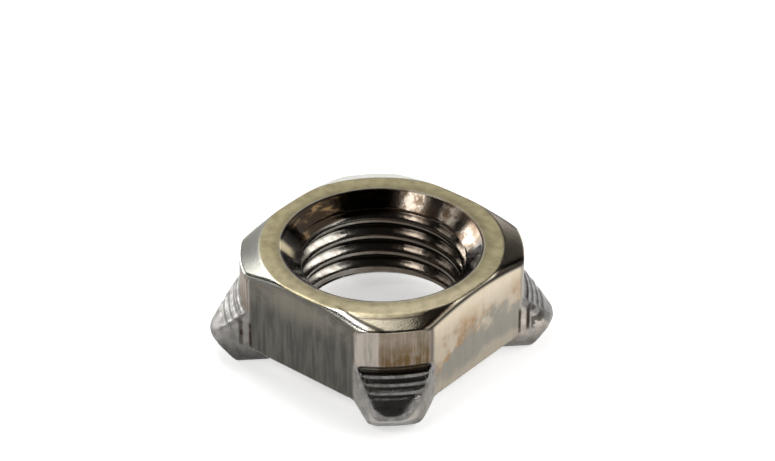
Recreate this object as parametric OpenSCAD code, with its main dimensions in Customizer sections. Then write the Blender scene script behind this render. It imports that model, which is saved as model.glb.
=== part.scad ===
// Square weld nut: a threaded square body with a ridged welding foot under each corner.
// Sizes are in millimetres. The bore stands on +Z and the four feet rest on Z = 0.

/* [Body] */
// Width across the flats of the square body
flats = 19; // [18:0.5:22]
// How much wider than the flats the rounded corners are
corner_extra = 2.9; // [2.3:0.1:3.5]
// Height of the body from its underside to its top face
body_height = 7.1; // [6.6:0.1:10]
// Depth that the upright edges beside each corner are broken by
edge_break = 0.06; // [0.03:0.01:0.12]
// How far the flat ring on the top stays inside the flats
ring_inset = 0.1; // [0.05:0.05:0.5]
// Slope of the chamfer from the ring out to the corners, in degrees
chamfer_slope = 21; // [12:1:30]

/* [Thread] */
// Nominal diameter of the thread
thread_dia = 14; // [12:0.5:14.5]
// Pitch of the thread
thread_pitch = 1.5; // [1:0.25:2]
// How much wider than the thread the top countersink opens
sink_extra = 1.45; // [0.6:0.05:2]
// Included angle of the top countersink, in degrees
sink_angle = 90; // [75:5:120]
// Depth of the small countersink on the underside
burr_depth = 0.3; // [0.2:0.1:0.6]

/* [Feet] */
// Drop from the underside of the body to the foot pads
foot_drop = 1.6; // [1.2:0.1:2.4]
// Height of the ridged slope's upper edge above the underside
foot_rise = 3.4; // [3:0.1:4.2]
// Reach of the nose past the corner, before its edge is rounded
nose_reach = 2.55; // [2.05:0.05:3.25]
// Height of the nose above the pads
nose_height = 1.9; // [1.6:0.1:2.3]
// Radius on the nose between the slope and the underside
nose_radius = 0.45; // [0.2:0.05:0.7]
// Width of the foot across its nose
nose_width = 3.2; // [2.6:0.1:4]
// Length of flank that the bevels on the two corners of the nose take
nose_bevel = 0.5; // [0.2:0.05:0.6]
// Reach of the pad past the corner
pad_reach = 0.75; // [0.45:0.05:1.25]
// Width of the pad, before its edges are rounded
pad_width = 4.6; // [4:0.1:5.2]
// Radius on the two lower edges of the pad
pad_radius = 1; // [0.4:0.1:1.4]
// How far the foot runs back under the body from the corner
foot_root = 1.75; // [1.35:0.05:2.15]
// How far the flanks of a foot lap onto the flats
flank_lap = 0.1; // [0.05:0.05:0.3]

/* [Ridges] */
// Number of grooves pressed across the slope of a foot
groove_count = 4; // [2:1:5]
// Spacing of the grooves down the slope
groove_pitch = 0.62; // [0.5:0.02:0.66]
// Distance from the slope's upper edge to the first groove
groove_start = 0.36; // [0.34:0.02:0.6]
// Depth of the first groove, close under the corner
first_depth = 0.28; // [0.1:0.02:0.34]
// Depth of the other grooves
groove_depth = 0.15; // [0.06:0.01:0.24]
// Length of slope left plain between a groove's end and the flank
groove_margin = 0.35; // [0.2:0.05:0.8]

/* [Hidden] */
$fn = 96;

// Main radii and levels
half = flats / 2;
corner_r = (flats + corner_extra) / 2;
ring_r = half - ring_inset;
underside = foot_drop;
top = foot_drop + body_height;
corner_top = top - (corner_r - ring_r) * tan(chamfer_slope);

// Bore: the wall is cut to the thread's minor diameter
thread_depth = 0.5413 * thread_pitch;
minor_r = thread_dia / 2 - thread_depth;
sink_r = (thread_dia + sink_extra) / 2;
sink_depth = (sink_r - minor_r) / tan(sink_angle / 2);
past = 1;

// Bevel on an upright edge: it leans half way between the flat and the corner's arc
bevel_turn = acos(half / corner_r) / 2;
bevel_r = corner_r * cos(bevel_turn) - edge_break;
bevel_y = (bevel_r - half * cos(bevel_turn)) / sin(bevel_turn);

// Foot, seen along a diagonal: the place on the flat where a flank starts
flank_y = bevel_y - flank_lap;
flank_u = (half + flank_y) / sqrt(2);
flank_t = (half - flank_y) / sqrt(2);
foot_back = corner_r - foot_root;
slope_top = [corner_r, underside + foot_rise];
nose = [corner_r + nose_reach, nose_height];
pad_edge = [corner_r + pad_reach, 0];

function unit(v) = v / norm(v);

// Round on the nose, tangent to the slope and to the undercut below it
slope_dir = unit(nose - slope_top);
slope_out = [-slope_dir[1], slope_dir[0]];
slope_start = slope_top - 0.3 * slope_dir;
under_dir = unit(pad_edge - nose);
nose_half_angle = acos(-slope_dir * under_dir) / 2;
nose_centre = nose + unit(under_dir - slope_dir) * nose_radius / sin(nose_half_angle);
nose_tangent = nose_radius / tan(nose_half_angle);
nose_end = nose_centre[0] + nose_radius;

// Flanks in plan: straight lines that close in from the flats, and faster beside the nose
flank_taper = (flank_t - nose_width / 2) / (nose_end - flank_u);
bevel_taper = 1.6;
bevel_u = nose_end - nose_bevel;
plan_end = nose_end + 0.1;

// Flanks seen from the front: below the underside they draw in to the pad's round edges
pad_half = pad_width / 2;
draw_dir = unit([flank_t - pad_half, underside]);
pad_half_angle = acos(-draw_dir[0]) / 2;
pad_tangent = pad_radius / tan(pad_half_angle);
pad_flat = pad_half - pad_tangent;

function flank_half(u) = flank_t - (u - flank_u) * flank_taper;
function bevel_half(u) = flank_half(bevel_u) - (u - bevel_u) * bevel_taper;
function groove_at(i) = groove_start + i * groove_pitch;
function groove_deep(i) = i == 0 ? first_depth : groove_depth;

// Scallop radius of a groove, from its depth and the width that the spacing leaves it
function groove_r(d) = (pow(0.45 * groove_pitch, 2) + d * d) / (2 * d);
function groove_lift(i) = groove_r(groove_deep(i)) - groove_deep(i);
function groove_centre(i) = slope_top + slope_dir * groove_at(i) + slope_out * groove_lift(i);

// Round blank that gives the corners, with the chamfer turned on its top
module blank() {
    rotate_extrude()
        polygon([
            [0, underside],
            [corner_r, underside],
            [corner_r, corner_top],
            [ring_r, top],
            [0, top]
        ]);
}

// Prism whose faces lie on the bevels of the upright edges
module bevels() {
    translate([0, 0, underside - past])
        linear_extrude(body_height + 2 * past)
            polygon([
                for (turn = [0:90:270], point = [
                    [turn, bevel_r / cos(bevel_turn)],
                    [turn + 45, bevel_r / cos(45 - bevel_turn)]
                ])
                    point[1] * [cos(point[0]), sin(point[0])]
            ]);
}

// Square body with round corners
module body() {
    intersection() {
        translate([-half, -half, underside - past])
            cube([flats, flats, body_height + 2 * past]);
        blank();
        bevels();
    }
}

// Section of a foot turned about the bore: ridged slope, round nose, undercut and pad
module foot_ring() {
    rotate_extrude()
        polygon([
            [foot_back, 0],
            pad_edge,
            nose + under_dir * nose_tangent,
            nose - slope_dir * nose_tangent,
            slope_start,
            [foot_back, slope_start[1]]
        ]);
    rotate_extrude()
        translate(nose_centre)
            circle(nose_radius);
}

// Plan of a foot, drawn in from its flanks by a margin
module foot_wedge(margin) {
    linear_extrude(top)
        polygon([
            [0, 0],
            [flank_u, margin - flank_t],
            [bevel_u, margin - flank_half(bevel_u)],
            [plan_end, margin - bevel_half(plan_end)],
            [plan_end, bevel_half(plan_end) - margin],
            [bevel_u, flank_half(bevel_u) - margin],
            [flank_u, flank_t - margin]
        ]);
}

// Front view of a foot, with two round edges at its pad
module foot_front() {
    rotate([90, 0, 90]) {
        linear_extrude(nose_end + past)
            polygon([
                [-pad_flat, 0],
                [pad_flat, 0],
                [pad_half + pad_tangent * draw_dir[0], pad_tangent * draw_dir[1]],
                [flank_t, underside],
                [flank_t, top],
                [-flank_t, top],
                [-flank_t, underside],
                [-pad_half - pad_tangent * draw_dir[0], pad_tangent * draw_dir[1]]
            ]);
        for (side = [-1, 1])
            translate([side * pad_flat, pad_radius, 0])
                cylinder(r = pad_radius, h = nose_end + past);
    }
}

// Scalloped grooves across the slope, stopping short of the flanks
module foot_grooves() {
    intersection() {
        union() {
            for (i = [0:groove_count - 1])
                rotate_extrude()
                    translate(groove_centre(i))
                        circle(groove_r(groove_deep(i)));
        }
        foot_wedge(groove_margin);
    }
}

// One foot, lying along +X
module foot() {
    difference() {
        intersection() {
            foot_ring();
            foot_wedge(0);
            foot_front();
        }
        foot_grooves();
    }
}

// Bore with its two countersinks
module bore() {
    rotate_extrude()
        polygon([
            [0, underside - past],
            [minor_r + burr_depth + past, underside - past],
            [minor_r, underside + burr_depth],
            [minor_r, top - sink_depth],
            [sink_r + past * tan(sink_angle / 2), top + past],
            [0, top + past]
        ]);
}

module nut() {
    color([0.58, 0.56, 0.52])
        difference() {
            union() {
                body();
                for (turn = [45:90:315])
                    rotate(turn)
                        foot();
            }
            bore();
        }
}

nut();
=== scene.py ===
import math

import bpy
import numpy as np
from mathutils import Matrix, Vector


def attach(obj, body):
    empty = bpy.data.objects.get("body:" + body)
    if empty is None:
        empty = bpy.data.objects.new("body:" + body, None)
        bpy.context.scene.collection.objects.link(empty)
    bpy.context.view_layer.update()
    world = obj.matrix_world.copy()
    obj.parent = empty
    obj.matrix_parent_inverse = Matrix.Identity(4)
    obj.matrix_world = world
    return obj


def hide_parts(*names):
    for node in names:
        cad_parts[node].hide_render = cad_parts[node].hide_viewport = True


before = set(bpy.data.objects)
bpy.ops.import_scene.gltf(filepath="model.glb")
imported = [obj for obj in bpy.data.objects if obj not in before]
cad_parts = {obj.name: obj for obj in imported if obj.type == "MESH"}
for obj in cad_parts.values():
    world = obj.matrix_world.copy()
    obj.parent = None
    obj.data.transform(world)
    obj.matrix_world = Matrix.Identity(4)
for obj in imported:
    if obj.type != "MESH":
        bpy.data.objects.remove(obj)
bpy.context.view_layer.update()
print("frame loaded")

# The nut's sizes in millimetres, as the solid has them, then its wear and how softly its edges are rounded.
nut = {
    "flats": 19.0,
    "corner": 21.9,
    "ring": 18.8,
    "chamfer": 21.0,  # degrees
    "underside": 1.6,
    "top": 8.7,
    "slopeTop": (10.95, 5.0),  # radius and height, as in the next two
    "nose": (13.5, 1.9),
    "padEdge": (11.7, 0.0),
    "footBack": 9.2,
    "noseWidth": 3.2,
    "noseEnd": 13.35,
    "noseBevel": 0.5,
    "bevelTaper": 1.6,
    "flankStart": (10.333, 3.102),  # distance along the diagonal, and half width there
    "padWidth": 4.6,
    "frontPadWidth": 3.1,
    "wornNose": ((13.65, 0.3), (12.25, 1.9)),  # two points of a cut, along the diagonal and to one side of it
    "unwornShift": 9.0,  # keeps that cut clear of the back foot
    "edgeSoft": 0.16,
    "ringSoft": 0.05,
    "topSoft": 0.55,
    "cornerTopSoft": 0.1,
    "topSoftFrom": (-0.5, 0.1),
    "baseSoft": 0.12,
    "noseSoft": 0.42,
    "flankSoft": 0.3,
    "underSoft": 0.16,
    "flankSoftFrom": (-0.3, 0.4),
    "drawSoft": 0.2,
    "padSoft": 0.16,
    "backSoft": 0.12,
    "wornSoft": 0.6,
    "joinSoft": 0.12,
}

# The ridges pressed into the slope of each foot, deeper on the front one, which is also undercut at its top.
ridges = {
    "count": 4,
    "pitch": 0.62,
    "start": 0.36,
    "halfWidth": 0.48,  # of a groove, in pitches
    "firstDepth": 0.3,
    "sideFirstDepth": 0.1,
    "depth": 0.17,
    "sideDepth": 0.075,
    "fadeIn": (0.12, 0.48),  # distance from the flank over which the grooves begin
    "undercut": 0.27,
    "undercutAt": (0.3, -0.04),  # down the slope, and out of it
    "undercutEnd": (0.35, 0.0),
    "undercutFade": 0.8,
    "undercutSoft": 0.05,
}

# The thread and the mouths of the bore.
bore = {
    "major": 14.0,
    "minor": 12.376,
    "pitch": 1.5,
    "depth": 0.66,
    "lobeRound": 0.02,
    "lobeTop": 1.01,
    "turnStart": 0.139,
    "rowsPerTurn": 18,
    "sink": 15.45,
    "sinkSoft": 0.06,
    "burr": 0.3,
    "lip": 0.08,
    "mouthSoft": 0.12,
    "runOut": 0.3,
}

# Rows and columns of the mesh. Most entries are the first place, the last place and how many.
rows = {
    "cornerTurn": 21.0,  # degrees to each side of a corner with close columns
    "cornerStep": 0.6,
    "flatColumns": 26,
    "ring": (7.95, 8.9, 5),
    "capStart": 9.0,
    "capCount": 24,
    "edgeInset": 0.04,
    "edgeSteps": (0.03, 0.09, 0.17, 0.27, 0.4),
    "wallStart": 0.56,
    "wallLow": 5.86,
    "wallCount": 11,
    "side": (5.25, 1.7),
    "slope": (-0.16, 2.62, 50),
    "slopeEnd": (2.75, 3.55, 6),
    "noseCentre": (12.9, 1.9),
    "noseRadius": 0.46,
    "noseCount": 12,
    "under": (2.1, 0.12, 7),
    "padEdge": (11.66, 11.3, 4),
    "pad": (11.0, 9.28, 7),
    "back": (0.08, 1.5, 5),
    "base": (9.1, 6.75, 7),
    "cornerToFlat": (34.0, 21.0),  # degrees from a corner
    "rayStart": (8.3, 3.0),  # radius and height inside the section
    "rayStartOut": 1.0,
    "rayLength": 8.0,
    "halvings": 30,
    "mouthArc": 6,
    "mouthCone": 7,
    "burrCone": 4,
    "sharpAngle": 50.0,
}


# Larger of two fields, plus a quarter of the width times the square of how near they are to equal.
def smoothMax(a, b, width):
    near = np.maximum(width - np.abs(a - b), 0.0) / width
    return np.maximum(a, b) + near * near * width * 0.25


# Smaller of two fields with the same soft join.
def smoothMin(a, b, width):
    return -smoothMax(-a, -b, width)


# Goes from 0 to 1 as x passes from low to high: three squares less two cubes of the share.
def ease(low, high, x):
    share = np.clip((x - low) / (high - low), 0.0, 1.0)
    return share * share * (3.0 - 2.0 * share)


# Rises from 0 to 1 between the first two limits and falls back to 0 between the last two.
def window(limits, x):
    return ease(limits[0], limits[1], x) * ease(limits[3], limits[2], x)


# Unit vector of a pair.
def unit(a):
    return np.asarray(a, float) / math.hypot(*a)


# True towards the front corner, at +X and -Y.
def isFront(x, y):
    return (x > 0) & (y < 0)


slopeTop = np.array(nut["slopeTop"])
slopeDir = unit(np.array(nut["nose"]) - slopeTop)
slopeOut = np.array([-slopeDir[1], slopeDir[0]])
underDir = unit(np.array(nut["padEdge"]) - np.array(nut["nose"]))
underOut = np.array([-underDir[1], underDir[0]])
flankU, flankT = nut["flankStart"]
flankTaper = (flankT - nut["noseWidth"] / 2) / (nut["noseEnd"] - flankU)
chamferTan = math.tan(math.radians(nut["chamfer"]))


# Half width of a foot at distance u along its diagonal: a straight taper, and a faster one beside the nose.
def flankHalf(u):
    bevelU = nut["noseEnd"] - nut["noseBevel"]
    straight = flankT - (u - flankU) * flankTaper
    return straight - np.maximum(u - bevelU, 0.0) * (nut["bevelTaper"] - flankTaper)


# Signed distance to the square body: flats, corner arc, chamfer cone, top and underside, softly joined.
def bodyField(ax, ay, r, z):
    lean = math.radians(nut["chamfer"])
    flat = np.maximum(ax, ay) - nut["flats"] / 2
    corner = r - nut["corner"] / 2
    side = smoothMax(flat, corner, nut["edgeSoft"])
    cone = (r - nut["ring"] / 2) * math.sin(lean) + (z - nut["top"]) * math.cos(lean)
    cap = smoothMax(z - nut["top"], cone, nut["ringSoft"])
    onFlat = ease(*nut["topSoftFrom"], flat - corner)
    topSoft = nut["cornerTopSoft"] + (nut["topSoft"] - nut["cornerTopSoft"]) * onFlat
    body = smoothMax(side, cap, topSoft)
    return smoothMax(body, nut["underside"] - z, nut["baseSoft"])


# Depth of the grooves at distance s down the slope: parabolas one pitch apart, fading out near the flanks.
def grooveDepth(s, inside, front):
    depth = np.zeros_like(s)
    for i in range(ridges["count"]):
        names = ("firstDepth", "sideFirstDepth") if i == 0 else ("depth", "sideDepth")
        deep = np.where(front, ridges[names[0]], ridges[names[1]])
        x = (s - ridges["start"] - i * ridges["pitch"]) / (ridges["halfWidth"] * ridges["pitch"])
        depth = np.maximum(depth, deep * (1.0 - x * x))
    return depth * ease(*ridges["fadeIn"], inside)


# Signed distance to a foot: ridged slope, undercut, pad, flanks, worn side and back, softly joined.
# With it come the slope's own distance, the groove's depth, and the distances in from the flank and down.
def footField(u, t, worn, front, r, z):
    s = (r - slopeTop[0]) * slopeDir[0] + (z - slopeTop[1]) * slopeDir[1]
    inside = flankHalf(u) - t
    groove = grooveDepth(s, inside, front)
    padHalf = np.where(front, nut["frontPadWidth"], nut["padWidth"]) / 2
    slope = (r - slopeTop[0]) * slopeOut[0] + (z - slopeTop[1]) * slopeOut[1] + groove
    under = (r - nut["nose"][0]) * underOut[0] + (z - nut["nose"][1]) * underOut[1]
    lean = (flankT - padHalf) / nut["underside"]
    draw = (t - padHalf - z * lean) / np.hypot(1.0, lean)
    flank = -inside / math.hypot(1.0, flankTaper)
    foot = smoothMax(slope, under, nut["noseSoft"])
    foot = smoothMax(foot, -z, nut["padSoft"])
    onSlope = ease(*nut["flankSoftFrom"], slope - under)
    edgeSoft = nut["underSoft"] + (nut["flankSoft"] - nut["underSoft"]) * onSlope
    foot = smoothMax(foot, smoothMax(flank, draw, nut["drawSoft"]), edgeSoft)
    first, last = np.array(nut["wornNose"])
    wornOut = unit((last[1] - first[1], first[0] - last[0]))
    cut = (u - first[0]) * wornOut[0] + (worn - first[1]) * wornOut[1]
    foot = smoothMax(foot, cut, nut["wornSoft"])
    return smoothMax(foot, nut["footBack"] - r, nut["backSoft"]), slope, groove, inside, s


# The body's distance at a place, and all that footField gives for the foot of the nearest corner.
def nutParts(x, y, z):
    ax, ay, r = np.abs(x), np.abs(y), np.hypot(x, y)
    u, t = (ax + ay) / math.sqrt(2), np.abs(ax - ay) / math.sqrt(2)
    atBack = (x < 0) & (y > 0)
    worn = (y - ax * np.sign(y)) / math.sqrt(2) - nut["unwornShift"] * atBack
    return bodyField(ax, ay, r, z), *footField(u, t, worn, isFront(x, y), r, z)


# Signed distance to the whole outside: body and feet joined, less the tube that undercuts the front foot.
def nutField(x, y, z):
    body, foot, _, _, inside, _ = nutParts(x, y, z)
    whole = smoothMin(body, foot, nut["joinSoft"])
    down, out = ridges["undercutAt"]
    centre = slopeTop + slopeDir * down + slopeOut * out
    tube = ridges["undercut"] - np.hypot(np.hypot(x, y) - centre[0], z - centre[1])
    tube = tube - ridges["undercutFade"] * ease(*ridges["undercutEnd"], inside)
    return np.where(isFront(x, y), smoothMax(whole, tube, ridges["undercutSoft"]), whole)


# Radius of the bore at a turn and a height: round lobes on a helix, narrow roots, and the countersink.
def boreRadius(turn, z):
    minor = bore["minor"] / 2
    phase = z / bore["pitch"] - turn / (2 * math.pi) - bore["turnStart"]
    lobe = np.sqrt(np.cos(math.pi * phase) ** 2 + bore["lobeRound"])
    thread = bore["depth"] * np.clip(bore["lobeTop"] - lobe, 0.0, 1.0)
    start = nut["underside"] + bore["burr"]
    thread = minor + thread * ease(start, start + bore["runOut"], z)
    sink = bore["sink"] / 2 - (nut["top"] - z)
    return smoothMax(thread, sink, bore["sinkSoft"])


# Columns round the axis: close together at the corners, wider apart along the flats.
def columnTurns():
    last = rows["cornerTurn"]
    corner = np.arange(-last, last + 0.01, rows["cornerStep"])
    gap = np.linspace(last, 90.0 - last, rows["flatColumns"])[1:-1]
    quarter = np.concatenate([corner, gap])
    return np.radians(np.concatenate([quarter + 45.0 + 90.0 * k for k in range(4)]))


# Pairs of radius and height, where either may be one number for all.
def line(r, z):
    r, z = np.broadcast_arrays(np.asarray(r, float), np.asarray(z, float))
    return np.stack([r, z], 1)


# Guide points below the wall, in radius and height, past a corner: slope, nose, undercut, pad, back and base.
def cornerRows():
    s = np.concatenate([np.linspace(*rows["slope"]), np.linspace(*rows["slopeEnd"])])
    slope = slopeTop + s[:, None] * slopeDir
    first, last = math.atan2(slopeOut[1], slopeOut[0]), math.atan2(underOut[1], underOut[0])
    turn = np.linspace(first, last, rows["noseCount"])
    nose = np.array(rows["noseCentre"]) + rows["noseRadius"] * line(np.cos(turn), np.sin(turn))
    under = np.array(nut["padEdge"]) - np.linspace(*rows["under"])[:, None] * underDir
    pad = line(np.concatenate([np.linspace(*rows["padEdge"]), np.linspace(*rows["pad"])]), 0.0)
    back = line(nut["footBack"], np.linspace(*rows["back"]))
    base = line(np.linspace(*rows["base"]), nut["underside"])
    sideCount = len(slope) + len(nose) + len(under)
    return np.concatenate([slope, nose, under, pad, back, base]), sideCount


# Guide points of every column: cap and wall rows at its own edge, then rows that go over from corner to flat.
def guideRows(turns, share):
    fromFlat = np.abs((turns + math.pi / 4) % (math.pi / 2) - math.pi / 4)
    edge = np.minimum(nut["flats"] / 2 / np.cos(fromFlat), nut["corner"] / 2)[:, None]
    edgeZ = nut["top"] - (edge - nut["ring"] / 2) * chamferTan
    inset = edge - rows["edgeInset"]
    inner = np.repeat(np.linspace(*rows["ring"])[None, :], len(turns), 0)
    outer = rows["capStart"] + (inset - rows["capStart"]) * np.linspace(0.0, 1.0, rows["capCount"])
    capR = np.concatenate([inner, outer], 1)
    capZ = nut["top"] - np.maximum(capR - nut["ring"] / 2, 0.0) * chamferTan
    below = edgeZ - np.array(rows["edgeSteps"])
    lower = edgeZ - rows["wallStart"] + (rows["wallLow"] - edgeZ) * np.linspace(0.0, 1.0, rows["wallCount"])
    wallZ = np.concatenate([below, lower], 1)
    corner, sideCount = cornerRows()
    baseEnd, baseCount = rows["base"][1], len(corner) - sideCount
    sideZ = np.repeat(np.linspace(*rows["side"], sideCount)[None, :], len(turns), 0)
    floorR = inset + (baseEnd - inset) * np.linspace(0.0, 1.0, baseCount)
    flatR = np.concatenate([np.repeat(edge, sideCount, 1), floorR], 1)
    flatZ = np.concatenate([sideZ, np.full_like(floorR, nut["underside"])], 1)
    restR = flatR * (1 - share) + corner[:, 0] * share
    restZ = flatZ * (1 - share) + corner[:, 1] * share
    guideR = np.concatenate([capR, np.repeat(edge, wallZ.shape[1], 1), restR], 1)
    return guideR, np.concatenate([capZ, wallZ, restZ], 1)


# Points where rays from inside the section towards the guide points leave the solid, by halving the interval.
def solveOutside(turns):
    fromCorner = np.abs(np.degrees(turns) % 90.0 - 45.0)
    share = ease(*rows["cornerToFlat"], fromCorner)[:, None]
    startR, startZ = rows["rayStart"][0] + rows["rayStartOut"] * share, rows["rayStart"][1]
    guideR, guideZ = guideRows(turns, share)
    dr, dz = guideR - startR, guideZ - startZ
    size = np.hypot(dr, dz)
    dr, dz = dr / size, dz / size
    cos, sin = np.cos(turns)[:, None], np.sin(turns)[:, None]
    low, high = np.zeros_like(dr), np.full_like(dr, rows["rayLength"])
    for _ in range(rows["halvings"]):
        mid = (low + high) / 2
        r, z = startR + dr * mid, startZ + dz * mid
        outside = nutField(r * cos, r * sin, z) > 0
        high, low = np.where(outside, mid, high), np.where(outside, low, mid)
    return np.stack([r * cos, r * sin, z], 2)


# Rings of the top mouth, from the flat ring over a small round and down the countersink to the major radius.
def topRings():
    soft, edge = bore["mouthSoft"], bore["sink"] / 2
    turn = np.radians(np.linspace(90.0, 135.0, rows["mouthArc"]))
    centre = np.array([edge + soft * math.tan(math.radians(22.5)), nut["top"] - soft])
    arc = centre + soft * line(np.cos(turn), np.sin(turn))
    coneR = np.linspace(arc[-1, 0], bore["major"] / 2, rows["mouthCone"])[1:]
    return np.concatenate([arc, line(coneR, nut["top"] - (edge - coneR))])


# Rings of the bottom mouth, from the thread's minor radius out over the small countersink to the underside.
def bottomRings():
    low, burr, minor = nut["underside"], bore["burr"], bore["minor"] / 2
    step = np.linspace(0.0, 1.0, rows["burrCone"])
    cone = line(minor + burr * step, low + burr * (1 - step))
    return np.concatenate([cone, [[minor + burr + bore["lip"], low]]])


# Vertex rows of simple rings, one row of every column after another.
def ringGrid(rings, turns):
    r, z = rings[None, :, 0], np.repeat(rings[None, :, 1], len(turns), 0)
    return np.stack([r * np.cos(turns)[:, None], r * np.sin(turns)[:, None], z], 2)


# Four-cornered faces between each column and the next one.
def gridQuads(left, right):
    return np.stack([left[:, :-1], right[:, :-1], right[:, 1:], left[:, 1:]], 2).reshape(-1, 4)


# Rows of the thread along its helix, each a fraction of a pitch above the last, held between the mouths.
def threadGrid(turns, zLow, zHigh):
    perTurn, pitch = bore["rowsPerTurn"], bore["pitch"]
    turnCount = int(math.ceil((zHigh - zLow) / pitch)) + 3
    base = (np.arange(turnCount * perTurn) / perTurn - 2.0) * pitch + zLow
    raw = base[None, :] + pitch * turns[:, None] / (2 * math.pi)
    z = np.clip(raw, zLow, zHigh)
    r = boreRadius(turns[:, None], z)
    points = np.stack([r * np.cos(turns)[:, None], r * np.sin(turns)[:, None], z], 2)
    return points, raw <= zLow + 1e-6, raw >= zHigh - 1e-6


# The whole nut as one closed mesh: outside grid, bottom rings, helical thread rows, top rings.
def nutMesh():
    turns = np.sort(columnTurns() % (2 * math.pi))
    count, perTurn = len(turns), bore["rowsPerTurn"]
    outside = solveOutside(turns)
    bottom = ringGrid(bottomRings()[::-1], turns)
    top = ringGrid(topRings()[::-1], turns)
    thread, below, above = threadGrid(turns, bottomRings()[0][1], topRings()[-1][1])
    free = ~(below | above)
    ids, start = [], 0
    for grid in (outside, bottom, top):
        ids.append(start + np.arange(count * grid.shape[1]).reshape(count, -1))
        start += count * grid.shape[1]
    # rows held at a mouth share that mouth's points, and the last column meets the first one turn higher
    threadIds = np.where(below, ids[1][:, -1:], ids[2][:, :1])
    threadIds[free] = start + np.arange(int(free.sum()))
    following = np.roll(threadIds, -1, 0)[:, :-perTurn]
    following[-1] = threadIds[0, perTurn:]
    shell = np.concatenate([ids[0], ids[1]], 1)
    mouth = np.concatenate([ids[2], ids[0][:, :1]], 1)
    quads = np.concatenate([
        gridQuads(shell, np.roll(shell, -1, 0)),
        gridQuads(mouth, np.roll(mouth, -1, 0)),
        gridQuads(threadIds[:, :-perTurn], following),
    ])
    grids = [grid.reshape(-1, 3) for grid in (outside, bottom, top)]
    return np.concatenate(grids + [thread[free]]), quads, count * outside.shape[1]


# Splits faces into quads and the triangles left where two corners are one point, and turns them outward.
def cleanFaces(points, quads):
    same = quads == np.roll(quads, -1, 1)
    whole = quads[~same.any(1)]
    single = same.sum(1) == 1
    triangles = quads[single][~same[single]].reshape(-1, 3)
    allTriangles = np.concatenate([whole[:, :3], whole[:, [0, 2, 3]], triangles])
    a, b, c = (points[allTriangles[:, i]] for i in range(3))
    volume = np.einsum("ij,ij->i", a, np.cross(b, c)).sum() / 6.0
    if volume < 0:
        whole, triangles = whole[:, ::-1], triangles[:, ::-1]
    print("volume in cubic millimetres:", round(abs(volume), 1), "triangles:", len(allTriangles))
    return whole, triangles


# Blender mesh from points in millimetres, quads and triangles.
def makeMesh(name, points, quads, triangles):
    mesh = bpy.data.meshes.new(name)
    corners = np.concatenate([quads.ravel(), triangles.ravel()]).astype(np.int32)
    sizes = np.concatenate([np.full(len(quads), 4), np.full(len(triangles), 3)])
    starts = np.concatenate([[0], np.cumsum(sizes)[:-1]]).astype(np.int32)
    mesh.vertices.add(len(points))
    mesh.vertices.foreach_set("co", (points * 0.001).astype(np.float32).ravel())
    mesh.loops.add(len(corners))
    mesh.loops.foreach_set("vertex_index", corners)
    mesh.polygons.add(len(sizes))
    mesh.polygons.foreach_set("loop_start", starts)
    mesh.update(calc_edges=True)
    mesh.validate()
    mesh.polygons.foreach_set("use_smooth", np.ones(len(mesh.polygons), bool))
    mesh.set_sharp_from_angle(angle=math.radians(rows["sharpAngle"]))
    return mesh


# Where the marks on the steel lie, in millimetres and degrees. Two limits give where a mark begins and where
# it is full, and four add where it starts to fade and where it ends.
marks = {
    "foot": (-0.05, 0.12),
    "slope": (-0.62, -0.36),
    "groove": (-0.3, -0.1),
    "firstGroove": 0.3,  # down the slope
    "firstGrooveReach": (0.5, 0.34),
    "firstGrooveIn": (-0.5, -0.3),
    "firstGrooveDepth": (0.02, 0.3),
    "firstGrooveEnd": 0.67,
    # Painted shade in the feet's grooves:
    "paintedShade": (1.0, 0.5, 0.12),  # share in the front foot's first groove, in its others, and on the side feet
    "corner": (-0.16, -0.04),
    "cornerWall": (-0.5, -0.3),
    "base": (1.75, 1.62),
    "cap": (-0.12, -0.04),
    "edge": (0.3, 0.05),
    "ring": (0.05, -0.05),
    "ringBulge": 0.33,  # how much wider the ring's tan is over the front corner
    "ringBulgeTurns": (20.0, 11.0),
    # A thin line of painted shade on the ring near the front corner:
    "ringLine": 0.42,
    "ringLineWidth": (0.12, 0.03),
    # Painted shade along the inner rim of the tan ring:
    "innerRimShade": (8.65, 8.05),
    "pastRing": (0.05, 0.2),
    # Painted shade on the chamfer to the right of the front corner:
    "rightEnd": (8.0, 16.0, 26.0, 34.0),
    "rightEndLean": 3.0,
    # A line of painted shade along the left face's top edge:
    "leftLine": (-9.0, 1.1, 0.082),  # a turn, the distance past the ring there, and its growth
    "leftLineTurns": (-29.0, -25.0, -6.0, 0.0),
    "leftLineWidth": ((-26.0, -6.0), (0.12, 0.28)),
    "leftLineEdge": (1.0, 0.4),  # of its width
    "leftLineMost": 0.9,
    # A painted highlight on the chamfer's tail towards the left face:
    "tailTurns": (-40.0, -30.0, -12.0, -9.0),
    "tailEdge": (0.0, 0.12),
    # A band of painted shade along the top edges of the pale sides:
    "darkEdgeIn": (-0.34, -0.14),
    "darkEdgeWider": (0.5, 0.3),
    "darkEdgeRight": (1.8, 3.8),
    "darkEdgeDown": (0.34, 0.14),
    "stainTurn": 129.9,  # the next turns are counted from this one
    # Painted shade in the thread's roots, darker where they lie deeper:
    "root": (0.5, 0.85),  # of the thread's depth
    "rootTop": (7.2, 6.9),
    # Painted shade over the back of the bore, by turn:
    "backShadeTurns": (-150.0, -120.0, 0.0, 30.0),
    "backShadeMost": 0.75,
    "rimTurns": (-125.0, -100.0, -75.0, -50.0),
    "rimHeight": (8.1, 8.45),
    "darkTurns": (-150.0, -138.0, -92.0, -80.0),
    "darkHeight": (7.35, 7.65),
    # A painted highlight on the countersink:
    "highlightTurns": (83.5, 89.5, 93.0, 99.0),
    "highlightHeight": (7.5, 8.1),
    "stainTurns": (-14.0, -2.0, 130.0, 150.0),
    "sinkHeight": (7.0, 7.3),
}


# Share of a named mark at x: an ease over two limits, or a window over four.
def mark(name, x):
    limits = marks[name]
    return ease(*limits, x) if len(limits) == 2 else window(limits, x)
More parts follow.
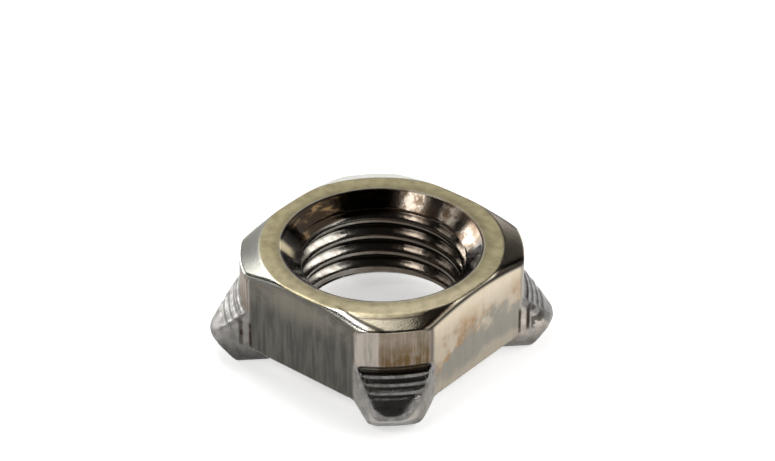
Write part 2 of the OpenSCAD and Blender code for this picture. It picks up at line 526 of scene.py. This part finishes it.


# Shares of the bore: painted shade in the roots by how deep they lie, painted shade over the back of the bore
# by turn, a painted highlight on the countersink, and the countersink's stains by turn and height.
def boreShares(r, z, turn):
    fromStain = (turn - marks["stainTurn"] + 180.0) % 360.0 - 180.0
    rootDepth = (r - bore["minor"] / 2) / bore["depth"]
    return {
        "boreShare": np.ones_like(r),
        "rootShade": mark("root", rootDepth) * mark("rootTop", z),
        "backShade": marks["backShadeMost"] * mark("backShadeTurns", fromStain),
        "rimShare": mark("rimHeight", z) * mark("rimTurns", fromStain),
        "darkEnd": mark("darkHeight", z) * mark("darkTurns", fromStain),
        "highlightShare": mark("highlightHeight", z) * mark("highlightTurns", fromStain),
        "stainShare": mark("stainTurns", fromStain),
        "sinkShare": mark("sinkHeight", z),
    }


# Shares of the feet: where a foot is outside the body, its slope, and painted shade in its grooves by their
# depth.
def footShares(x, y, z):
    body, foot, slope, groove, _, s = nutParts(x, y, z)
    onFoot = mark("foot", body - foot)
    slope = slope - groove
    ridged = np.clip(groove / ridges["depth"], 0.0, 1.0) * mark("groove", slope)
    first = mark("firstGrooveReach", np.abs(s - marks["firstGroove"]))
    first = first * mark("firstGrooveIn", slope) * mark("firstGrooveDepth", groove)
    frontFirst, frontOthers, others = marks["paintedShade"]
    frontShade = np.where(s < marks["firstGrooveEnd"], frontFirst, frontOthers)
    # painted shade in the grooves, strongest in the front foot's first groove
    paintedShade = np.where(isFront(x, y), frontShade, others)
    return {
        "footShare": onFoot,
        "slopeShare": onFoot * mark("slope", slope),
        "grooveShade": np.maximum(ridged * onFoot, first) * paintedShade,
    }


# Shares of the cap and its edges, by distance past the ring and by turn from the front corner: painted shade
# along the inner rim, on a line of the ring, at the chamfer's right end and along the top edges, and a
# painted highlight on the chamfer's tail.
def capShares(x, y, z, r, turn, flat, onFoot):
    fromRing, fromFront = r - nut["ring"] / 2, turn + 45.0
    cap = nut["top"] - np.maximum(fromRing, 0.0) * chamferTan
    onCap = mark("cap", z - cap) * (1 - onFoot)
    middle = mark("ringBulgeTurns", np.abs(fromFront))
    lean = fromFront + marks["rightEndLean"] * fromRing
    first, full, fade, end = marks["rightEnd"]
    rightEnd = ease(first, full, lean) * ease(end, fade, fromFront) * mark("pastRing", fromRing)
    lineTurn, lineStart, lineGrowth = marks["leftLine"]
    fromLine = fromRing - lineStart - lineGrowth * (fromFront - lineTurn)
    lineWidth = np.interp(fromFront, *marks["leftLineWidth"])
    leftLine = mark("leftLineEdge", np.abs(fromLine) / lineWidth)
    leftLine = leftLine * mark("leftLineTurns", fromFront)
    nearRight = mark("darkEdgeRight", np.minimum(x, y))
    low, high = (a - b * nearRight for a, b in zip(marks["darkEdgeIn"], marks["darkEdgeWider"]))
    edgeShade = ease(low, high, np.maximum(x, y) - nut["flats"] / 2) * mark("darkEdgeDown", cap - z)
    return {
        "capShare": onCap,
        "ringShare": mark("ring", fromRing - marks["ringBulge"] * middle) * onCap,
        "innerRimShade": mark("innerRimShade", r) * onCap,
        "ringEdgeShade": mark("ringLineWidth", np.abs(fromRing - marks["ringLine"])) * onCap * middle,
        "endShade": rightEnd * onCap,
        "tailHighlight": mark("tailTurns", fromFront) * mark("tailEdge", fromLine) * onCap,
        "edgeShare": mark("edge", np.abs(z - cap)) * mark("edge", np.abs(flat)),
        "edgeShade": np.maximum(edgeShade, marks["leftLineMost"] * leftLine * onCap),
    }


# Shares of the walls and the underside: the turned corners by distance from the arc, and the base by height.
def wallShares(z, r, flat, onFoot):
    fromCorner = r - nut["corner"] / 2
    return {
        "cornerShare": mark("corner", fromCorner - flat) * mark("cornerWall", fromCorner),
        "baseShare": mark("base", z) * (1 - onFoot),
    }


# One number of each kind for every point of the mesh, which the material reads by name.
def addShares(mesh, points, outsideCount):
    x, y, z = points.T
    r, turn = np.hypot(x, y), np.degrees(np.arctan2(y, x))
    flat = np.maximum(np.abs(x), np.abs(y)) - nut["flats"] / 2
    outside = np.arange(len(points)) < outsideCount
    outer = footShares(x, y, z)
    onFoot = outer["footShare"]
    outer.update(capShares(x, y, z, r, turn, flat, onFoot))
    outer.update(wallShares(z, r, flat, onFoot))
    shares = {name: values * ~outside for name, values in boreShares(r, z, turn).items()}
    shares.update({name: values * outside for name, values in outer.items()})
    # across a turned corner from -1 to 1
    cornerHalf = 45.0 - math.degrees(math.acos(nut["flats"] / nut["corner"]))
    shares["acrossCorner"] = (turn % 90.0 - 45.0) / cornerHalf
    for name, values in shares.items():
        layer = mesh.attributes.new(name, "FLOAT", "POINT")
        layer.data.foreach_set("value", values.astype(np.float32))


points, quads, outsideCount = nutMesh()
quads, triangles = cleanFaces(points, quads)
nutMeshData = makeMesh("weldNut", points, quads, triangles)
addShares(nutMeshData, points, outsideCount)
nutPiece = bpy.data.objects.new("weldNut", nutMeshData)
bpy.context.scene.collection.objects.link(nutPiece)
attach(nutPiece, "root")
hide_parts("nut")
print("nut made")


# Makes a node, sets its options, and links or sets its inputs.
def addNode(tree, kind, options=None, inputs=None):
    made = tree.nodes.new(kind)
    for name, value in (options or {}).items():
        setattr(made, name, value)
    for name, value in (inputs or {}).items():
        if isinstance(value, bpy.types.NodeSocket):
            tree.links.new(value, made.inputs[name])
        else:
            made.inputs[name].default_value = value
    return made


# Share read from the mesh by name.
def share(tree, name):
    return addNode(tree, "ShaderNodeAttribute", {"attribute_name": name}).outputs["Fac"]


# Two numbers joined by a named operation.
def sums(tree, operation, a, b):
    return addNode(tree, "ShaderNodeMath", {"operation": operation}, {0: a, 1: b}).outputs[0]


# Product of two or more numbers.
def times(tree, first, *others):
    for other in others:
        first = sums(tree, "MULTIPLY", first, other)
    return first


# Part of a share read from the mesh by name.
def part(tree, name, most):
    return times(tree, share(tree, name), most)


# Distance between two numbers.
def apart(tree, a, b):
    return sums(tree, "ABSOLUTE", sums(tree, "SUBTRACT", a, b), 0.0)


# Number carried smoothly from one span to another, and held at its ends.
def span(tree, value, low, high, first=0.0, last=1.0):
    inputs = {"Value": value, "From Min": low, "From Max": high, "To Min": first, "To Max": last}
    return addNode(tree, "ShaderNodeMapRange", {"interpolation_type": "SMOOTHSTEP"}, inputs).outputs[0]


# The same rise and fall for a number of the material.
def spanWindow(tree, value, limits):
    return times(tree, span(tree, value, limits[0], limits[1]), span(tree, value, limits[3], limits[2]))


# Colour a goes over to colour b by a share.
def blend(tree, factor, a, b, kind="MIX"):
    options = {"data_type": "RGBA", "blend_type": kind}
    return addNode(tree, "ShaderNodeMix", options, {0: factor, 6: a, 7: b}).outputs[2]


# Colour a is multiplied by colour b, by a share.
def tint(tree, factor, a, b):
    return blend(tree, factor, a, b, "MULTIPLY")


# Number a goes over to number b by a share.
def blendNumber(tree, factor, a, b):
    return addNode(tree, "ShaderNodeMix", {}, {0: factor, 2: a, 3: b}).outputs[0]


# Noise of the place times its features per millimetre along each axis, plus a shift.
def grain(tree, place, perMm, detail, rough, shift):
    inputs = {0: place, 1: [1000.0 * n for n in perMm], 2: (shift, shift, shift)}
    scaled = addNode(tree, "ShaderNodeVectorMath", {"operation": "MULTIPLY_ADD"}, inputs)
    inputs = {"Vector": scaled.outputs[0], "Scale": 1.0, "Detail": detail, "Roughness": rough}
    return addNode(tree, "ShaderNodeTexNoise", {}, inputs).outputs["Fac"]


# Distance of a place along a direction.
def along(tree, place, way):
    inputs = {0: place, 1: way}
    return addNode(tree, "ShaderNodeVectorMath", {"operation": "DOT_PRODUCT"}, inputs).outputs["Value"]


# The three coordinates of a place.
def axes(tree, place):
    return addNode(tree, "ShaderNodeSeparateXYZ", {}, {0: place}).outputs


# Colours of the steel, in linear light. Several stand for painted light and shade, as marked below. The
# ring's painted sheen and painted shades, footWorn and the feet's low painted shade multiply others.
steel = {
    # dark and pale: the sides in painted shade and in painted light
    "dark": (0.105, 0.1, 0.086, 1),
    "darkStreak": (0.07, 0.067, 0.059, 1),
    "darkTop": (0.17, 0.155, 0.128, 1),
    "pale": (0.46, 0.395, 0.305, 1),
    "paleTop": (0.62, 0.54, 0.42, 1),
    "stain": (0.33, 0.21, 0.105, 1),
    "grey": (0.26, 0.245, 0.21, 1),
    "cream": (0.38, 0.335, 0.295, 1),
    "rust": (0.125, 0.079, 0.034, 1),
    "tan": (0.46, 0.4, 0.25, 1),
    "tanDark": (0.34, 0.295, 0.18, 1),
    # The ring's painted sheen, then its painted shade towards the back and along its inner rim:
    "ringSheen": (1.22, 1.22, 1.28, 1),
    "ringBackShade": (0.92, 0.92, 0.86, 1),
    "ringRimShade": (0.72, 0.72, 0.7, 1),
    "chamfer": (0.43, 0.425, 0.38, 1),
    "rightChamfer": (0.5, 0.43, 0.34, 1),
    "frontChamfer": (0.46, 0.415, 0.31, 1),
    # Colour of the painted highlight on the chamfer's tail:
    "tail": (0.74, 0.71, 0.66, 1),
    "polish": (0.3, 0.268, 0.228, 1),
    # Dark brown for real tarnish, also used as painted shade on the cap's lines and over the back of the
    # bore:
    "tarnishAndShade": (0.087, 0.061, 0.04, 1),
    "thread": (0.34, 0.32, 0.285, 1),
    "burnt": (0.013, 0.009, 0.006, 1),
    "gold": (0.075, 0.048, 0.023, 1),
    # Colour of the painted highlight on the countersink:
    "highlightSpot": (0.95, 0.82, 0.55, 1),
    "footDark": (0.21, 0.202, 0.186, 1),
    "footPale": (0.49, 0.45, 0.402, 1),
    "footWorn": (0.55, 0.55, 0.55, 1),
    # Painted shade low on the feet:
    "footLowShade": (0.4, 0.4, 0.4, 1),
    "slope": (0.25, 0.24, 0.23, 1),
    "slopeDark": (0.15, 0.143, 0.132, 1),
    # Colour of the painted shade in the creases:
    "crease": (0.03, 0.022, 0.017, 1),
    # Painted shade for the feet's grooves, the thread's roots and the top edges:
    "paintedShade": (0.02, 0.016, 0.012, 1),
}

# Noise of the steel: features per millimetre along each axis, detail, roughness and shift.
grains = {
    "streak": ((2.6, 2.6, 0.3), 4.0, 0.6, 0.0),
    "fineStreak": ((7.0, 7.0, 0.3), 3.0, 0.55, 5.0),
    "blotch": ((0.3, 0.3, 0.36), 4.0, 0.62, 7.0),
    "patch": ((0.32, 0.32, 0.32), 6.0, 0.62, 11.0),
    "speckle": ((7.0, 7.0, 7.0), 3.0, 0.6, 0.0),
    "mottle": ((1.3, 1.3, 1.3), 4.0, 0.6, 3.0),
    "gold": ((0.5, 0.5, 2.6), 4.0, 0.6, 2.0),
}

# Directions across the nut that the colours change along.
ways = {
    # paleSide divides the painted shade of the sides from their painted light
    "paleSide": (1.0, 0.6, 0.0),
    "front": (0.707, -0.707, 0.0),
    "right": (0.707, 0.707, 0.0),
    "across": (0.77, 0.64, 0.0),
    # brightRing and towardsFront: directions of the ring's painted sheen and painted shade
    "brightRing": (0.88, -0.475, 0.0),
    "towardsFront": (0.64, -0.77, 0.0),
}


# Span of a place's distance along one of the directions, in metres.
def sideShare(tree, place, way, *limits):
    return span(tree, along(tree, place, ways[way]), *limits)


# Distance along a diagonal, in metres, over which a corner's own colours begin.
cornerStart = (0.004, 0.007)


# Share of the front corner, which lies towards +X and -Y.
def frontCorner(tree, place):
    return sideShare(tree, place, "front", *cornerStart)


# Places of the creases in metres, and how the noise breaks them up.
creases = {
    "rootWidth": (0.00013, 0.00003),
    "rootReach": (0.00013, 0.00004),
    "second": 0.00027,
    "secondWidth": (0.00009, 0.00002),
    "secondReach": (0.0024, 0.0026),
    "lineMottle": (0.36, 0.52, 0.75, 1.0),
    "past": (0.0003, 0.0004),
    "pastReach": (0.0019, 0.0023),
    "pastMottle": (0.43, 0.53, 0.0, 0.8),
    "pastSide": (0.002, 0.004),
    "height": (0.0045, 0.0038),
    "wall": (-0.0003, -0.0001),
    "base": (0.0017, 0.0021),
}


# Dark creases painted as shade where a side foot meets the flat: one line at the root, one on the flank, and
# blotches past it.
def creaseShare(tree, place, mottle, inBore):
    x, y, z = axes(tree, place)
    ax, ay = apart(tree, x, 0.0), apart(tree, y, 0.0)
    fromFlat = sums(tree, "SUBTRACT", sums(tree, "MAXIMUM", ax, ay), nut["flats"] * 0.0005)
    fromMiddle = times(tree, apart(tree, ax, ay), math.sqrt(0.5))
    root = span(tree, apart(tree, fromMiddle, flankT * 0.001), *creases["rootWidth"])
    root = times(tree, root, span(tree, fromFlat, *creases["rootReach"]))
    second = span(tree, apart(tree, fromFlat, creases["second"]), *creases["secondWidth"])
    second = times(tree, second, span(tree, fromMiddle, *creases["secondReach"]))
    lines = times(tree, sums(tree, "MAXIMUM", root, second), span(tree, mottle, *creases["lineMottle"]))
    past = times(tree, span(tree, fromFlat, *creases["past"]), span(tree, fromMiddle, *creases["pastReach"]))
    past = times(tree, past, span(tree, mottle, *creases["pastMottle"]), span(tree, y, *creases["pastSide"]))
    both = times(tree, sums(tree, "MAXIMUM", lines, past), span(tree, z, *creases["height"]))
    wall = times(tree, span(tree, fromFlat, *creases["wall"]), span(tree, z, *creases["base"]))
    side = sums(tree, "SUBTRACT", 1.0, sums(tree, "MAXIMUM", frontCorner(tree, place), inBore))
    return times(tree, both, side, wall)


# Limits of noise and of height in metres for the marks on the sides and on the turned corners.
sides = {
    "streak": (0.35, 0.65),
    "darkTop": (0.0055, 0.0078),
    "darkTopBlotch": (0.3, 0.6),
    "stain": (0.44, 0.6),
    "stainStreak": (0.3, 0.6, 0.6, 1.0),
    "paleTop": (0.0058, 0.0082),
    "greyLift": 0.38,
    "greyFall": 85.0,
    "grey": (0.36, 0.5),
    "hemRagged": 0.003,
    "hem": (0.0047, 0.0036, 0.0, 0.6),
    # paleSide: where the sides go over from painted shade to painted light
    "paleSide": (0.0006, 0.0012),
    "rustBand": (-0.46, -0.38, 0.86, 0.98),  # across a corner from -1 to 1, as the rust line
    "rustMix": (0.6, 0.5),
    "rust": (0.38, 0.64, 0.58, 1.0),
    "rustHeight": (0.0055, 0.0075, 1.0, 0.6),
    "creamStreak": (0.4, 0.7),
    "rustLine": (0.9, 0.97, 1.0, 1.06),
    "rustLineMost": 0.7,
}


# Sides: dark and finely streaked towards -X and -Y, pale with brown stains and grey patches on the others.
# The dark is painted shade and the pale is painted light, set by side.
def sideColour(tree, place, noise):
    z = axes(tree, place)["Z"]
    streaked = span(tree, noise["streak"], *sides["streak"])
    dark = blend(tree, streaked, steel["dark"], steel["darkStreak"])
    upper = span(tree, noise["blotch"], *sides["darkTopBlotch"])
    upper = times(tree, upper, span(tree, z, *sides["darkTop"]))
    dark = blend(tree, upper, dark, steel["darkTop"])
    stain = span(tree, noise["blotch"], *sides["stain"])
    stain = times(tree, stain, span(tree, noise["streak"], *sides["stainStreak"]))
    pale = blend(tree, stain, steel["pale"], steel["stain"])
    pale = blend(tree, span(tree, z, *sides["paleTop"]), pale, steel["paleTop"])
    lower = sums(tree, "ADD", noise["patch"], sides["greyLift"])
    lower = sums(tree, "SUBTRACT", lower, times(tree, z, sides["greyFall"]))
    pale = blend(tree, span(tree, lower, *sides["grey"]), pale, steel["grey"])
    ragged = sums(tree, "ADD", z, times(tree, noise["patch"], sides["hemRagged"]))
    pale = blend(tree, span(tree, ragged, *sides["hem"]), pale, steel["pale"])
    return blend(tree, sideShare(tree, place, "paleSide", *sides["paleSide"]), dark, pale)


# Turned corners: cream, with a band of rust in upright streaks over most of their width.
def cornerColour(tree, place, noise):
    across = share(tree, "acrossCorner")
    streakPart, mottlePart = sides["rustMix"]
    uneven = times(tree, noise["fineStreak"], streakPart)
    uneven = sums(tree, "ADD", uneven, times(tree, noise["mottle"], mottlePart))
    rust = times(tree, spanWindow(tree, across, sides["rustBand"]), span(tree, uneven, *sides["rust"]))
    rust = times(tree, rust, span(tree, axes(tree, place)["Z"], *sides["rustHeight"]))
    greyed = span(tree, noise["streak"], *sides["creamStreak"])
    corner = blend(tree, greyed, steel["cream"], steel["grey"])
    corner = blend(tree, rust, corner, steel["rust"])
    edge = times(tree, spanWindow(tree, across, sides["rustLine"]), sides["rustLineMost"])
    return blend(tree, edge, corner, steel["tarnishAndShade"])


# Limits of noise and of distance in metres for the colours of the feet.
feet = {
    "worn": (0.38, 0.65),
    "wornMost": 0.6,
    "pale": (-0.008, 0.009),
    "frontDark": (-0.001, 0.0018, 0.25, 0.85),
    # Painted shade towards the bottom of the side feet's flanks:
    "low": (0.0004, 0.0026, 1.0, 0.0),
    # A painted highlight along the rim of the front nose:
    "rim": (0.001, 0.0014, 0.0019, 0.0025),
    "rimOut": (0.0122, 0.0127),
    "rimMost": 0.7,
    # Painted shade along the front foot's bottom edge:
    "hem": (0.0006, 0.0011, 1.0, 0.0),
    "rightDark": (0.003, 0.009, 0.0, 0.55),
}


# Feet: dark slopes, and flanks that go from dark to pale across the nut, with a painted highlight along the
# rim of the front nose, and painted shade low on the side feet's flanks and along the front foot's bottom
# edge.
def footColour(tree, place, mottle):
    z = axes(tree, place)["Z"]
    front = frontCorner(tree, place)
    worn = span(tree, mottle, *feet["worn"])
    pale = sideShare(tree, place, "across", *feet["pale"])
    flank = blend(tree, pale, steel["footDark"], steel["footPale"])
    frontDark = times(tree, front, sideShare(tree, place, "across", *feet["frontDark"]))
    flank = tint(tree, frontDark, flank, steel["footWorn"])
    flank = tint(tree, times(tree, worn, feet["wornMost"]), flank, steel["footWorn"])
    low = times(tree, span(tree, z, *feet["low"]), sums(tree, "SUBTRACT", 1.0, front))
    flank = tint(tree, low, flank, steel["footLowShade"])
    rim = times(tree, spanWindow(tree, z, feet["rim"]), sideShare(tree, place, "front", *feet["rimOut"]))
    flank = blend(tree, times(tree, rim, feet["rimMost"]), flank, steel["footPale"])
    flank = tint(tree, times(tree, front, span(tree, z, *feet["hem"])), flank, steel["footLowShade"])
    slope = blend(tree, worn, steel["slope"], steel["slopeDark"])
    slope = tint(tree, sideShare(tree, place, "across", *feet["rightDark"]), slope, steel["footWorn"])
    return blend(tree, share(tree, "slopeShare"), flank, slope)


# How much of each stain and of the painted shade shows in the bore, and its limits of noise.
stains = {
    "brown": (0.4, 0.62),
    "threadBrown": 0.3,
    "root": 0.92,
    "sinkBackShade": 0.65,
    "rim": 0.85,
    "gold": (0.54, 0.7),
}


# Bore: grey thread with roots darkened as painted shade, and a brown countersink; painted shade makes thread
# and countersink nearly black over the back of the turn, and a painted highlight lies on the countersink.
def boreColour(tree, noise):
    tarnishAndShade = steel["tarnishAndShade"]
    brown = span(tree, noise["mottle"], *stains["brown"])
    thread = blend(tree, times(tree, brown, stains["threadBrown"]), steel["thread"], tarnishAndShade)
    # painted shade over the back of the bore
    thread = blend(tree, share(tree, "backShade"), thread, tarnishAndShade)
    # painted shade in the thread's roots
    thread = blend(tree, part(tree, "rootShade", stains["root"]), thread, steel["paintedShade"])
    sink = blend(tree, brown, steel["polish"], tarnishAndShade)
    sink = blend(tree, part(tree, "backShade", stains["sinkBackShade"]), sink, tarnishAndShade)
    sink = blend(tree, part(tree, "rimShare", stains["rim"]), sink, tarnishAndShade)
    gold = blend(tree, span(tree, noise["gold"], *stains["gold"]), steel["burnt"], steel["gold"])
    sink = blend(tree, share(tree, "stainShare"), sink, gold)
    # painted highlight on the countersink
    sink = blend(tree, share(tree, "highlightShare"), sink, steel["highlightSpot"])
    sink = blend(tree, share(tree, "darkEnd"), sink, steel["burnt"])
    return blend(tree, share(tree, "sinkShare"), thread, sink)


# Limits for the colours of the cap: noise of the tan ring, then distances along a direction in metres for its
# painted sheen and painted shade.
capLimits = {
    "tan": (0.35, 0.7),
    "bright": (0.0066, 0.0082),
    "back": (0.006, 0.0),
}

# How much of the painted shade shows: the lines on the cap, and the dark in the grooves of the feet.
paintedShadeShares = {
    "ringEdgeShade": 0.85,
    "endShade": 0.92,
    "grooveShade": 0.8,
}


# Cap: a tan ring with a painted sheen brighter towards the front and painted shade towards the back and along
# its inner rim, inside a grey chamfer that is warmer at the front and right corners, with a painted highlight
# on the chamfer's tail.
def capColour(tree, place, mottle):
    tan = blend(tree, span(tree, mottle, *capLimits["tan"]), steel["tan"], steel["tanDark"])
    tan = tint(tree, sideShare(tree, place, "brightRing", *capLimits["bright"]), tan, steel["ringSheen"])
    tan = tint(tree, sideShare(tree, place, "towardsFront", *capLimits["back"]), tan, steel["ringBackShade"])
    tan = tint(tree, share(tree, "innerRimShade"), tan, steel["ringRimShade"])
    chamfer = blend(tree, frontCorner(tree, place), steel["chamfer"], steel["frontChamfer"])
    chamfer = blend(tree, sideShare(tree, place, "right", *cornerStart), chamfer, steel["rightChamfer"])
    chamfer = blend(tree, share(tree, "tailHighlight"), chamfer, steel["tail"])
    return blend(tree, share(tree, "ringShare"), chamfer, tan)


# The whole colour: sides first, then each part of the nut over them, then painted shade: dark lines, the dark
# in the grooves, and the creases.
def steelColour(tree, place, noise):
    inBore = share(tree, "boreShare")
    crease = creaseShare(tree, place, noise["mottle"], inBore)
    lines = {name: part(tree, name, most) for name, most in paintedShadeShares.items()}
    layers = (
        (share(tree, "cornerShare"), cornerColour(tree, place, noise)),
        (share(tree, "baseShare"), steel["grey"]),
        (share(tree, "footShare"), footColour(tree, place, noise["mottle"])),
        (share(tree, "capShare"), capColour(tree, place, noise["mottle"])),
        (inBore, boreColour(tree, noise)),
        (share(tree, "edgeShare"), steel["chamfer"]),
        (lines["ringEdgeShade"], steel["tarnishAndShade"]),
        (lines["endShade"], steel["tarnishAndShade"]),
        (share(tree, "edgeShade"), steel["paintedShade"]),
        (lines["grooveShade"], steel["paintedShade"]),
        (crease, steel["crease"]),
    )
    colour = sideColour(tree, place, noise)
    for factor, over in layers:
        colour = blend(tree, factor, colour, over)
    return colour


# Roughness of each part: limits of noise, then the roughness at both ends, or one number. Then small bumps.
finish = {
    "side": (0.3, 0.7, 0.38, 0.5),
    "chamfer": 0.2,
    "ring": (0.3, 0.7, 0.3, 0.4),
    "foot": (0.3, 0.7, 0.24, 0.36),
    "leftFoot": (-0.009, -0.004, 0.08, 0.0),  # added towards the left foot, by distance in metres
    "bore": (0.3, 0.7, 0.1, 0.24),
    "highlightSpot": 0.45,
    "edge": 0.3,
    "bumpStrength": 0.3,
    "bumpHeight": 0.00004,  # metres
    "bumpSpeckle": 0.4,  # on the streaked sides
}


# The whole roughness: sides first, then each part over them.
def steelRough(tree, place, noise):
    ring = span(tree, noise["speckle"], *finish["ring"])
    foot = span(tree, noise["mottle"], *finish["foot"])
    foot = sums(tree, "ADD", sideShare(tree, place, "across", *finish["leftFoot"]), foot)
    layers = (
        ("capShare", blendNumber(tree, share(tree, "ringShare"), finish["chamfer"], ring)),
        ("footShare", foot),
        ("boreShare", span(tree, noise["mottle"], *finish["bore"])),
        ("highlightShare", finish["highlightSpot"]),
        ("edgeShare", finish["edge"]),
    )
    rough = span(tree, noise["streak"], *finish["side"])
    for name, over in layers:
        rough = blendNumber(tree, share(tree, name), rough, over)
    return rough


# Bare steel: satin on top, polished in the bore, dull and streaked on the sides.
def steelMaterial():
    made = bpy.data.materials.new("weldNutSteel")
    made.use_nodes = True
    tree = made.node_tree
    shader = tree.nodes["Principled BSDF"]
    place = addNode(tree, "ShaderNodeTexCoord").outputs["Object"]
    noise = {name: grain(tree, place, *values) for name, values in grains.items()}
    tree.links.new(steelColour(tree, place, noise), shader.inputs["Base Color"])
    tree.links.new(steelRough(tree, place, noise), shader.inputs["Roughness"])
    shader.inputs["Metallic"].default_value = 1.0
    height = sums(tree, "ADD", noise["streak"], times(tree, noise["speckle"], finish["bumpSpeckle"]))
    height = blendNumber(tree, share(tree, "capShare"), height, noise["speckle"])
    height = blendNumber(tree, share(tree, "boreShare"), height, noise["mottle"])
    inputs = {"Strength": finish["bumpStrength"], "Distance": finish["bumpHeight"], "Height": height}
    bump = addNode(tree, "ShaderNodeBump", {}, inputs)
    tree.links.new(bump.outputs["Normal"], shader.inputs["Normal"])
    return made


nutMeshData.materials.append(steelMaterial())
print("steel made")

# The stage: a white floor, and how much of it shows as plain white around the nut, with less through its hole
# as a painted shadow.
stage = {
    "floorSize": 3.0,
    "floorColour": (0.86, 0.855, 0.845, 1),
    "plainShare": 0.62,
    "holeShadowShare": 0.47,
    "holeEdge": (0.0065, 0.0095),
    "ambient": (0.035, 0.034, 0.033, 1),
    "backdropHeight": (0.12, 0.3),
    "white": (1, 1, 1, 1),
}

# The view: where the camera looks in metres, from which side, and where that point falls in the photograph.
view = {
    "aim": (0.0, 0.0, 0.0087),
    "azimuth": 39.88,
    "elevation": 33.8,
    "distance": 0.25,
    "sensor": 36.0,
    "pixelsPerMm": 13.05,
    "pixel": (381.8, 243.7),
    "frame": (775, 461),
    "clip": (0.01, 20.0),
}

# Soft panels: which way they lie from the nut (right, back and up from the camera), how far in metres,
# how big and how bright.
lights = {
    "right": ((0.8, 0.05, 0.55), 0.45, (0.42, 0.24), 3.5),
    "leftBack": ((-0.77, 0.58, 0.27), 0.45, (0.13, 0.11), 8.0),
    "leftMid": ((-0.82, 0.07, 0.56), 0.45, (0.14, 0.1), 1.6),
    "leftHigh": ((-0.48, -0.42, 0.77), 0.45, (0.13, 0.13), 6.0),
    "leftLow": ((-0.64, 0.76, 0.14), 0.45, (0.2, 0.08), 6.0),
    "leftStrip": ((-0.32, 0.5, 0.8), 0.45, (0.11, 0.26), 4.2),
    "leftSpot": ((-0.42, 0.68, 0.6), 0.45, (0.1, 0.08), 2.4),
    "back": ((-0.12, 0.82, 0.56), 0.5, (0.3, 0.3), 0.75),
    "backHigh": ((0.0, 0.62, 0.78), 0.45, (0.2, 0.1), 1.6),
    "overhead": ((-0.12, 0.27, 0.955), 0.45, (0.19, 0.14), 2.3),
}


# Share of rays that the metal or glass sends on: the larger of the two kinds.
def mirroredRays(tree, path):
    return sums(tree, "MAXIMUM", path["Is Glossy Ray"], path["Is Transmission Ray"])


# White floor that keeps its shadow: part of what the camera and the metal see is plain white, and less of it
# under the hole, as a painted shadow.
def makeFloor():
    half = stage["floorSize"] / 2
    mesh = bpy.data.meshes.new("floor")
    corners = [(-half, -half, 0), (half, -half, 0), (half, half, 0), (-half, half, 0)]
    mesh.from_pydata(corners, [], [(0, 1, 2, 3)])
    floor = bpy.data.objects.new("floor", mesh)
    bpy.context.scene.collection.objects.link(floor)
    made = bpy.data.materials.new("floor")
    made.use_nodes = True
    tree = made.node_tree
    tree.nodes.remove(tree.nodes["Principled BSDF"])
    diffuse = addNode(tree, "ShaderNodeBsdfDiffuse", {}, {"Color": stage["floorColour"]}).outputs[0]
    path = addNode(tree, "ShaderNodeLightPath").outputs
    seen = sums(tree, "MAXIMUM", path["Is Camera Ray"], mirroredRays(tree, path))
    place = addNode(tree, "ShaderNodeTexCoord").outputs["Object"]
    fromAxis = addNode(tree, "ShaderNodeVectorMath", {"operation": "LENGTH"}, {0: place}).outputs["Value"]
    plain = span(tree, fromAxis, *stage["holeEdge"], stage["holeShadowShare"], stage["plainShare"])
    inputs = {"Color": stage["white"], "Strength": times(tree, seen, plain)}
    white = addNode(tree, "ShaderNodeEmission", {}, inputs).outputs[0]
    both = addNode(tree, "ShaderNodeAddShader", {}, {0: diffuse, 1: white}).outputs[0]
    tree.links.new(both, tree.nodes["Material Output"].inputs["Surface"])
    mesh.materials.append(made)


# Direction in the world of a way given as right, back and up from the camera.
def worldWay(way):
    a = math.radians(view["azimuth"])
    right, back = Vector((math.cos(a), math.sin(a), 0)), Vector((-math.sin(a), math.cos(a), 0))
    return (right * way[0] + back * way[1] + Vector((0, 0, way[2]))).normalized()


# Panel lights: power is radiance times area times pi.
def makeLights():
    for name, (way, far, size, radiance) in lights.items():
        data = bpy.data.lights.new(name, "AREA")
        data.shape = "RECTANGLE"
        data.size, data.size_y = size
        data.energy = radiance * math.pi * data.size * data.size_y
        lamp = bpy.data.objects.new(name, data)
        way = worldWay(way)
        lamp.location = Vector(view["aim"]) + way * far
        lamp.rotation_euler = way.to_track_quat("Z", "Y").to_euler()
        bpy.context.scene.collection.objects.link(lamp)


# Surroundings: dim for light, white to the camera, and white to the metal up to the backdrop's height.
def makeWorld():
    world = bpy.data.worlds.new("studio")
    world.use_nodes = True
    tree = world.node_tree
    path = addNode(tree, "ShaderNodeLightPath").outputs
    height = axes(tree, addNode(tree, "ShaderNodeTexCoord").outputs["Generated"])["Z"]
    low = span(tree, height, *stage["backdropHeight"], 1.0, 0.0)
    backdrop = times(tree, mirroredRays(tree, path), low)
    seen = sums(tree, "MAXIMUM", path["Is Camera Ray"], backdrop)
    colour = blend(tree, seen, stage["ambient"], stage["white"])
    tree.links.new(colour, tree.nodes["Background"].inputs["Color"])
    tree.nodes["Background"].inputs["Strength"].default_value = 1.0
    bpy.context.scene.world = world


# Camera on its azimuth and elevation; the shift puts the aim point on its pixel.
def makeCamera():
    data = bpy.data.cameras.new("camera")
    a, e = math.radians(view["azimuth"]), math.radians(view["elevation"])
    away = Vector((math.sin(a) * math.cos(e), -math.cos(a) * math.cos(e), math.sin(e)))
    wide, tall = view["frame"]
    data.sensor_fit = "HORIZONTAL"
    data.sensor_width = view["sensor"]
    data.lens = view["pixelsPerMm"] * view["distance"] * 1000.0 * view["sensor"] / wide
    data.shift_x = (wide / 2 - view["pixel"][0]) / wide
    data.shift_y = (view["pixel"][1] - tall / 2) / wide
    data.clip_start, data.clip_end = view["clip"]
    camera = bpy.data.objects.new("camera", data)
    camera.location = Vector(view["aim"]) + away * view["distance"]
    camera.rotation_euler = away.to_track_quat("Z", "Y").to_euler()
    bpy.context.scene.collection.objects.link(camera)
    bpy.context.scene.camera = camera


makeFloor()
makeLights()
makeWorld()
makeCamera()
bpy.context.scene.view_settings.view_transform = "Standard"
print("stage made")
